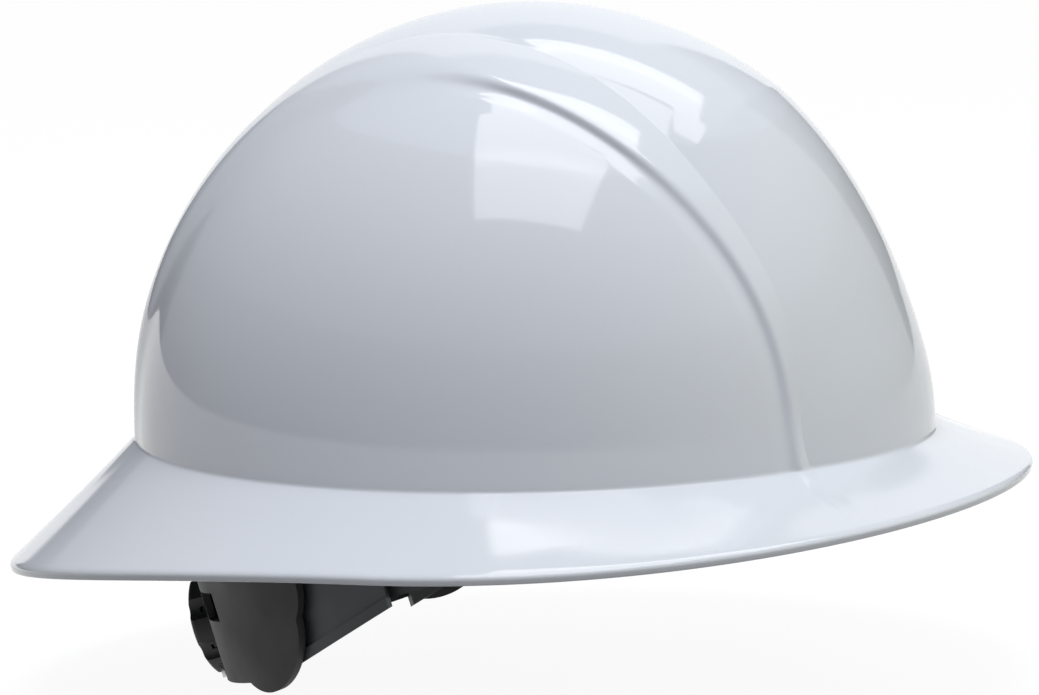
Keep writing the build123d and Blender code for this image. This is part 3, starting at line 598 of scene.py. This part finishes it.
def brow_seams(points):
    """How deep the brow pad is sunk: along both rims, and at upright rows on its inner face."""
    ring = to_ring(points)
    turn = np.degrees(np.arctan2(ring[:, 1], ring[:, 0] - BROW_CENTRE))
    upright = from_pitch(turn, BROW_PITCH) * BROW_LENGTH_PER_DEGREE
    inner = np.hypot(ring[:, 0] - BROW_CENTRE, ring[:, 1]) < BROW_FACE
    rims = from_nearer(ring[:, 2], BROW_RIMS)
    quilt = groove(upright, SEAM_WIDTH, QUILT_DEPTH) * inner
    return PAD_SINK + np.maximum(groove(rims, SEAM_WIDTH, SEAM_DEPTH), quilt)


def nape_seams(points):
    """How deep the nape pad is sunk: along all its edges, and at two upright rows."""
    ring = to_ring(points)
    turn = np.abs(np.degrees(np.arctan2(ring[:, 1], -ring[:, 0])))
    rims = from_nearer(ring[:, 2], NAPE_RIMS)
    ends = np.abs(turn - NAPE_END_TURN) * NAPE_LENGTH_PER_DEGREE
    middle = np.abs(turn - NAPE_MIDDLE_TURN) * NAPE_LENGTH_PER_DEGREE
    edges = groove(np.minimum(rims, ends), SEAM_WIDTH, SEAM_DEPTH)
    return PAD_SINK + np.maximum(edges, groove(middle, NAPE_MIDDLE_WIDTH, SEAM_DEPTH))


def crown_seams(points):
    """How deep the crown pad is sunk: at two rings, and at spokes between them."""
    middle = (points.max(0) + points.min(0)) / 2
    x, y = points[:, 0] - middle[0], points[:, 1] - middle[1]
    flat = np.hypot(x, y)
    rings = groove(from_nearer(flat, CROWN_RINGS), SEAM_WIDTH, SEAM_DEPTH)
    beside = from_pitch(np.degrees(np.arctan2(y, x)), SPOKE_PITCH) * np.radians(1) * flat
    spokes = groove(beside, SEAM_WIDTH, QUILT_DEPTH)
    spokes = spokes * smoothstep(*SPOKE_START, flat) * smoothstep(*SPOKE_END, flat)
    return PAD_SINK + np.maximum(rings, spokes)


def make_strap(node, name):
    """A webbing strap in two quarter ellipses, from the ends and the top of its CAD solid."""
    points = node_points(node)
    foot, top = points[:, 2].min(), points[:, 2].max()
    ends = points[points[:, 2] < foot + STRAP_FOOT]
    left, right = ends[ends[:, 1] > 0].mean(0), ends[ends[:, 1] < 0].mean(0)
    along = (left - right) / np.linalg.norm(left - right)
    cross = right + (left - right) * (right[1] / (right[1] - left[1]))
    side = np.cross(along, (0, 0, 1))
    before, after = (cross - right) @ along, (left - cross) @ along
    rise = top - foot - STRAP_SINK
    turns = np.linspace(0, math.pi, STRAP_STEPS + 1)
    shape = webbing_section(STRAP_HALF, STRAP_WALL / 2)
    rows, texture = [], []
    travelled, last = 0.0, None
    for turn in turns:
        reach = before if turn < math.pi / 2 else after
        place = cross - along * reach * math.cos(turn) + np.array([0, 0, rise * math.sin(turn)])
        facing = -along * rise * math.cos(turn) + np.array([0, 0, reach * math.sin(turn)])
        facing /= np.linalg.norm(facing)
        if last is not None:
            travelled += np.linalg.norm(place - last)
        last = place
        rows.append([place + side * w + facing * t for w, t in shape])
        texture.append([(travelled / WEAVE_UNIT, w / WEAVE_UNIT) for w, t in shape])
    count = len(shape)
    end = STRAP_STEPS * count
    faces = [tuple(range(count)), tuple(reversed(range(end, end + count)))]
    for i in range(STRAP_STEPS):
        for j in range(count):
            k = (j + 1) % count
            faces.append((i * count + j, (i + 1) * count + j, (i + 1) * count + k, i * count + k))
    strap = mesh_object(name, np.concatenate(rows) * MM, faces)
    layer = strap.data.uv_layers.new(name="weave")
    flat = [uv for row in texture for uv in row]
    for loop in strap.data.loops:
        layer.data[loop.index].uv = flat[loop.vertex_index]
    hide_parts(node)
    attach(strap, "helmet")
    return strap


def webbing_section(half, thick):
    """The outline across a strap: flat faces and rounded selvedges."""
    across = np.linspace(-half + thick, half - thick, FACE_PLACES)
    turns = np.linspace(math.pi / 2, -math.pi / 2, SELVEDGE_PLACES)[1:-1]
    upper = [(w, thick) for w in across]
    right = [(half - thick + thick * math.cos(t), thick * math.sin(t)) for t in turns]
    lower = [(-w, -thick) for w in across]
    left = [(-w, -t) for w, t in right]
    return upper + right + lower + left


def new_material(name):
    """A new material with its node tree and its main shader."""
    material = bpy.data.materials.new(name)
    material.use_nodes = True
    tree = material.node_tree
    return material, tree, tree.nodes["Principled BSDF"]


def link(tree, start, end):
    """One link in a node tree."""
    tree.links.new(start, end)


def math_node(tree, operation, first, second=None):
    """One arithmetic node; its inputs are sockets or plain numbers."""
    node = tree.nodes.new("ShaderNodeMath")
    node.operation = operation
    for socket, value in zip(node.inputs, (first, second)):
        if isinstance(value, bpy.types.NodeSocket):
            link(tree, value, socket)
        elif value is not None:
            socket.default_value = value
    return node.outputs["Value"]


def shader_mix(tree, share, first, second):
    """The first shader where a share is zero, and the second where it is one."""
    mix = tree.nodes.new("ShaderNodeMixShader")
    link(tree, share, mix.inputs["Fac"])
    link(tree, first, mix.inputs[1])
    link(tree, second, mix.inputs[2])
    return mix.outputs["Shader"]


def seen_by(tree, kinds):
    """One for rays of these kinds, and zero for all others."""
    path = tree.nodes.new("ShaderNodeLightPath")
    seen = path.outputs[kinds[0]]
    for kind in kinds[1:]:
        seen = math_node(tree, "MAXIMUM", seen, path.outputs[kind])
    return seen


def noise(tree, scale, detail=2.0):
    """Soft noise in the object's own space, with a scale in cells per metre."""
    where = tree.nodes.new("ShaderNodeTexCoord")
    node = tree.nodes.new("ShaderNodeTexNoise")
    node.inputs["Scale"].default_value = scale
    node.inputs["Detail"].default_value = detail
    link(tree, where.outputs["Object"], node.inputs["Vector"])
    return node


def spread(tree, source, low, high):
    """The middle range of a noise, stretched between two values."""
    node = tree.nodes.new("ShaderNodeMapRange")
    node.inputs["From Min"].default_value = NOISE_LOW
    node.inputs["From Max"].default_value = NOISE_HIGH
    node.inputs["To Min"].default_value = low
    node.inputs["To Max"].default_value = high
    link(tree, source, node.inputs["Value"])
    return node.outputs["Result"]


def bump(tree, shader, source, strength, distance):
    """Fine relief on a shader, with its height in metres."""
    node = tree.nodes.new("ShaderNodeBump")
    node.inputs["Strength"].default_value = strength
    node.inputs["Distance"].default_value = distance
    link(tree, source, node.inputs["Height"])
    link(tree, node.outputs["Normal"], shader.inputs["Normal"])


def tint(tree, shader, source, first, second):
    """A colour that drifts between two with a source from zero to one."""
    node = tree.nodes.new("ShaderNodeMix")
    node.data_type = "RGBA"
    node.inputs["A"].default_value = (*first, 1)
    node.inputs["B"].default_value = (*second, 1)
    link(tree, source, node.inputs["Factor"])
    link(tree, node.outputs["Result"], shader.inputs["Base Color"])


def shell_plastic():
    """Glossy white moulding with faint flow marks and very fine ripples."""
    material, tree, shader = new_material("shell_plastic")
    flow = noise(tree, scale=9.0, detail=3.0)
    tint(tree, shader, flow.outputs["Fac"], SHELL_DARK, SHELL_LIGHT)
    gloss = spread(tree, flow.outputs["Fac"], low=0.05, high=0.09)
    link(tree, gloss, shader.inputs["Roughness"])
    fine = noise(tree, scale=260.0)
    bump(tree, shader, fine.outputs["Fac"], strength=0.03, distance=0.0002)
    shader.inputs["IOR"].default_value = 1.5
    shader.inputs["Subsurface Weight"].default_value = 0.08
    shader.inputs["Subsurface Radius"].default_value = SCATTER_RADIUS
    shader.inputs["Subsurface Scale"].default_value = 1.0
    return material


def lighter(colour, gain, lift):
    """A colour made lighter by a factor and a small step."""
    return [c * gain + lift for c in colour]


def moulded(name, colour, rough, grain):
    """Satin moulded plastic with a fine grain and slightly uneven sheen."""
    material, tree, shader = new_material(name)
    cloud = noise(tree, scale=40.0, detail=3.0)
    tint(tree, shader, cloud.outputs["Fac"], colour, lighter(colour, gain=1.25, lift=0.004))
    sheen = spread(tree, cloud.outputs["Fac"], rough - SHEEN_DRIFT, rough + SHEEN_DRIFT)
    link(tree, sheen, shader.inputs["Roughness"])
    fine = noise(tree, scale=1600.0)
    bump(tree, shader, fine.outputs["Fac"], strength=grain, distance=0.0001)
    return material


def metal(name):
    """Plated steel, slightly uneven in colour and sheen."""
    material, tree, shader = new_material(name)
    cloud = noise(tree, scale=300.0)
    tint(tree, shader, cloud.outputs["Fac"], STEEL_DARK, STEEL_LIGHT)
    shader.inputs["Metallic"].default_value = 1.0
    sheen = spread(tree, cloud.outputs["Fac"], low=0.25, high=0.4)
    link(tree, sheen, shader.inputs["Roughness"])
    return material


def cloth(name, colour):
    """Knitted pad cover with a soft sheen and a fine knit."""
    material, tree, shader = new_material(name)
    cloud = noise(tree, scale=60.0, detail=3.0)
    tint(tree, shader, cloud.outputs["Fac"], colour, lighter(colour, gain=1.5, lift=0.004))
    shader.inputs["Roughness"].default_value = 0.92
    shader.inputs["Sheen Weight"].default_value = 0.35
    shader.inputs["Sheen Roughness"].default_value = 0.45
    where = tree.nodes.new("ShaderNodeTexCoord")
    knit = tree.nodes.new("ShaderNodeTexVoronoi")
    knit.inputs["Scale"].default_value = 1500.0
    link(tree, where.outputs["Object"], knit.inputs["Vector"])
    bump(tree, shader, knit.outputs["Distance"], strength=0.6, distance=0.00025)
    return material


def woven(name, colour):
    """Webbing: ribs across the strap, crossed by slanting threads."""
    material, tree, shader = new_material(name)
    where = tree.nodes.new("ShaderNodeUVMap")
    where.uv_map = "weave"
    ribs = tree.nodes.new("ShaderNodeTexWave")
    ribs.bands_direction = "X"
    ribs.inputs["Scale"].default_value = 4.0
    ribs.inputs["Distortion"].default_value = 0.4
    threads = tree.nodes.new("ShaderNodeTexWave")
    threads.bands_direction = "DIAGONAL"
    threads.inputs["Scale"].default_value = 5.5
    threads.inputs["Distortion"].default_value = 0.3
    for node in (ribs, threads):
        link(tree, where.outputs["UV"], node.inputs["Vector"])
    both = math_node(tree, "MULTIPLY", ribs.outputs["Fac"], threads.outputs["Fac"])
    tint(tree, shader, both, colour, lighter(colour, gain=2.2, lift=0.01))
    shader.inputs["Roughness"].default_value = 0.75
    shader.inputs["Sheen Weight"].default_value = 0.2
    bump(tree, shader, both, strength=0.7, distance=0.0003)
    return material


def paint(obj, material):
    """One material on the whole object."""
    if not obj.material_slots:
        obj.data.materials.append(material)
    for slot in obj.material_slots:
        slot.material = material


def make_camera():
    """The camera at the photograph's viewing angle."""
    data = bpy.data.cameras.new("camera")
    data.lens = CAMERA_LENS
    data.sensor_width = FILM_WIDTH
    data.clip_start, data.clip_end = CLIP_NEAR, CLIP_FAR
    camera = collection_of(bpy.data.objects.new("camera", data))
    turn = Matrix((CAMERA_RIGHT, CAMERA_UP, CAMERA_BACK)).transposed().to_4x4()
    camera.matrix_world = Matrix.Translation(Vector(CAMERA_PLACE) * MM) @ turn
    bpy.context.scene.camera = camera


def softbox(name, level, middle, spin, width, length, colour=LAMP_WHITE):
    """A lamp that faces straight down, with its level per square metre."""
    data = bpy.data.lights.new(name, "AREA")
    data.shape = "RECTANGLE"
    data.size, data.size_y = width, length
    data.energy = level * width * length
    data.color = colour
    lamp = collection_of(bpy.data.objects.new(name, data))
    lamp.location = (*middle, SOFTBOX_HEIGHT)
    lamp.rotation_euler = (0, 0, math.radians(spin))
    return lamp


def tube_stripe(lamp, where):
    """A brighter stripe across a softbox, as its tube makes, at a share of its length."""
    lamp.data.use_nodes = True
    tree = lamp.data.node_tree
    emission = tree.nodes["Emission"]
    place = tree.nodes.new("ShaderNodeNewGeometry")
    split = tree.nodes.new("ShaderNodeSeparateXYZ")
    link(tree, place.outputs["Parametric"], split.inputs["Vector"])
    off = math_node(tree, "SUBTRACT", split.outputs["Y"], where)
    square = math_node(tree, "POWER", math_node(tree, "DIVIDE", off, STRIPE_WIDTH), 2.0)
    bell = math_node(tree, "EXPONENT", math_node(tree, "MULTIPLY", square, -1.0))
    strength = math_node(tree, "ADD", math_node(tree, "MULTIPLY", bell, STRIPE_LEVEL), 1.0)
    link(tree, strength, emission.inputs["Strength"])


def past(tree, value, edge):
    """One where a value is over an edge and zero below it, with a short way between."""
    node = tree.nodes.new("ShaderNodeMapRange")
    node.interpolation_type = "SMOOTHSTEP"
    node.inputs["From Min"].default_value = edge - CARD_EDGE
    node.inputs["From Max"].default_value = edge + CARD_EDGE
    link(tree, value, node.inputs["Value"])
    return node.outputs["Result"]


def sector(tree, limits):
    """The product of several values being over their edges, or under them if marked so."""
    product = None
    for value, edge, over in limits:
        share = past(tree, value, edge)
        if not over:
            share = math_node(tree, "SUBTRACT", 1.0, share)
        product = share if product is None else math_node(tree, "MULTIPLY", product, share)
    return product


def scaled(tree, colour, share):
    """A colour times a share."""
    node = tree.nodes.new("ShaderNodeVectorMath")
    node.operation = "SCALE"
    if isinstance(colour, bpy.types.NodeSocket):
        link(tree, colour, node.inputs["Vector"])
    else:
        node.inputs["Vector"].default_value = colour
    link(tree, share, node.inputs["Scale"])
    return node.outputs["Vector"]


def added(tree, first, second):
    """The sum of two colours."""
    node = tree.nodes.new("ShaderNodeVectorMath")
    node.operation = "ADD"
    link(tree, first, node.inputs[0])
    link(tree, second, node.inputs[1])
    return node.outputs["Vector"]


def studio_light(tree):
    """Light from each side, a bright panel in front, the backdrop and two dark cards."""
    where = tree.nodes.new("ShaderNodeTexCoord")
    split = tree.nodes.new("ShaderNodeSeparateXYZ")
    link(tree, where.outputs["Generated"], split.inputs["Vector"])
    total = None
    for side, (axis, sign) in SIDES.items():
        facing = math_node(tree, "MULTIPLY", split.outputs[axis], sign)
        share = math_node(tree, "POWER", math_node(tree, "MAXIMUM", facing, 0.0), 2.0)
        light = scaled(tree, SIDE_LIGHT[side], share)
        total = light if total is None else added(tree, total, light)
    turn = math_node(tree, "ARCTAN2", split.outputs["Y"], split.outputs["X"])
    turn = math_node(tree, "DEGREES", turn)
    rise = math_node(tree, "DEGREES", math_node(tree, "ARCSINE", split.outputs["Z"]))
    leaned = math_node(tree, "ADD", turn, math_node(tree, "MULTIPLY", rise, PANEL_LEAN))
    panel = sector(tree, [
        (turn, PANEL_START, True), (leaned, PANEL_END, False),
        (rise, PANEL_FOOT, True), (rise, PANEL_TOP, False),
    ])
    total = added(tree, total, scaled(tree, PANEL_LIGHT, panel))
    backdrop = sector(tree, [
        (turn, FRONT_CARD_END, True), (turn, REAR_CARD_START, False),
        (rise, BACKDROP_FOOT, True), (rise, BACKDROP_TOP, False),
    ])
    total = added(tree, total, scaled(tree, BACKDROP_LIGHT, backdrop))
    front_card = sector(tree, [
        (leaned, PANEL_END, True), (turn, FRONT_CARD_END, False), (rise, PANEL_TOP, False),
    ])
    rear_card = sector(tree, [
        (turn, REAR_CARD_START, True), (turn, REAR_CARD_END, False), (rise, REAR_CARD_TOP, False),
    ])
    for card in (front_card, rear_card):
        open_share = math_node(tree, "SUBTRACT", 1.0, math_node(tree, "MULTIPLY", card, CARD_DEPTH))
        total = scaled(tree, total, open_share)
    return total


def make_world():
    """A white surround to the camera, also through clear things, and a studio to other rays."""
    world = bpy.data.worlds.new("studio")
    bpy.context.scene.world = world
    world.use_nodes = True
    tree = world.node_tree
    tree.nodes.clear()
    studio = tree.nodes.new("ShaderNodeBackground")
    link(tree, studio_light(tree), studio.inputs["Color"])
    white = tree.nodes.new("ShaderNodeBackground")
    white.inputs["Color"].default_value = (1, 1, 1, 1)
    seen = seen_by(tree, ("Is Camera Ray", "Is Transmission Ray"))
    mix = shader_mix(tree, seen, studio.outputs["Background"], white.outputs["Background"])
    out = tree.nodes.new("ShaderNodeOutputWorld")
    link(tree, mix, out.inputs["Surface"])


def make_floor():
    """A plain pale floor, white to the camera and in the gloss, and clear from below."""
    height = cad_low[2] - FLOOR_GAP
    corners = [(-FLOOR_HALF, -FLOOR_HALF), (FLOOR_HALF, -FLOOR_HALF)]
    corners += [(FLOOR_HALF, FLOOR_HALF), (-FLOOR_HALF, FLOOR_HALF)]
    points = [(x, y, height) for x, y in corners]
    floor = mesh_object("floor", points, [(0, 1, 2, 3)], smooth=False)
    material, tree, shader = new_material("floor_white")
    shader.inputs["Base Color"].default_value = (*FLOOR_BOUNCE, 1)
    shader.inputs["Roughness"].default_value = 1.0
    pale = tree.nodes.new("ShaderNodeBsdfDiffuse")
    pale.inputs["Color"].default_value = (*FLOOR_SHADOW, 1)
    glow = tree.nodes.new("ShaderNodeEmission")
    glow.inputs["Color"].default_value = (*FLOOR_GLOW, 1)
    seen_floor = tree.nodes.new("ShaderNodeAddShader")
    link(tree, pale.outputs["BSDF"], seen_floor.inputs[0])
    link(tree, glow.outputs["Emission"], seen_floor.inputs[1])
    seen = seen_by(tree, ("Is Camera Ray", "Is Glossy Ray", "Is Transmission Ray"))
    above = shader_mix(tree, seen, shader.outputs["BSDF"], seen_floor.outputs["Shader"])
    clear = tree.nodes.new("ShaderNodeBsdfTransparent")
    sides = tree.nodes.new("ShaderNodeNewGeometry")
    both = shader_mix(tree, sides.outputs["Backfacing"], above, clear.outputs["BSDF"])
    link(tree, both, tree.nodes["Material Output"].inputs["Surface"])
    paint(floor, material)


make_camera()
bpy.context.scene.view_settings.view_transform = "Standard"
make_world()
make_floor()

near = softbox("near_softbox", NEAR_LEVEL, **NEAR_BOX)
tube_stripe(near, NEAR_STRIPE)
far = softbox("far_softbox", FAR_LEVEL, **FAR_BOX)
tube_stripe(far, FAR_STRIPE)
side = softbox("side_softbox", FAR_LEVEL, **SIDE_BOX)
for lamp in (far, side):
    lamp.visible_diffuse = False
fill = softbox("overhead_fill", FILL_LEVEL, **NEAR_BOX, colour=FILL_COLOUR)
fill.visible_glossy = False

finish = shell_plastic()
keys = [name for name in frame["nodes"] if name.startswith("key_")]
moulding = [make_crown(), make_brim(), make_ear(1), make_ear(-1)]
moulding += [make_socket(key) for key in keys]
for piece in moulding:
    paint(piece, finish)

pad_cloth = cloth("pad_cloth", PAD_COLOUR)
seams = {"brow_pad": brow_seams, "nape_pad": nape_seams, "crown_pad": crown_seams}
for node, sink in seams.items():
    paint(cushion(node, node + "_cover", sink), pad_cloth)

webbing = woven("webbing", WEBBING_COLOUR)
for node in ("crown_strap_upper", "crown_strap_lower"):
    paint(make_strap(node, node + "_webbing"), webbing)

# The other nodes keep their CAD form and get a finish by their material slot
finishes = {
    "band_plastic": moulded("band_plastic", BAND_COLOUR, rough=0.5, grain=0.2),
    "arm_plastic": moulded("arm_plastic", ARM_COLOUR, rough=0.42, grain=0.15),
    "cradle_plastic": moulded("cradle_plastic", CRADLE_COLOUR, rough=0.6, grain=0.3),
    "gear_plastic": moulded("gear_plastic", GEAR_COLOUR, rough=0.4, grain=0.1),
    "metal": metal("plated_steel"),
}
slots = {part["node"]: part["material_slot"] for part in frame["record"]["subparts"]}
for name, node in frame["nodes"].items():
    if slots.get(name) in finishes:
        paint(node, finishes[slots[name]])
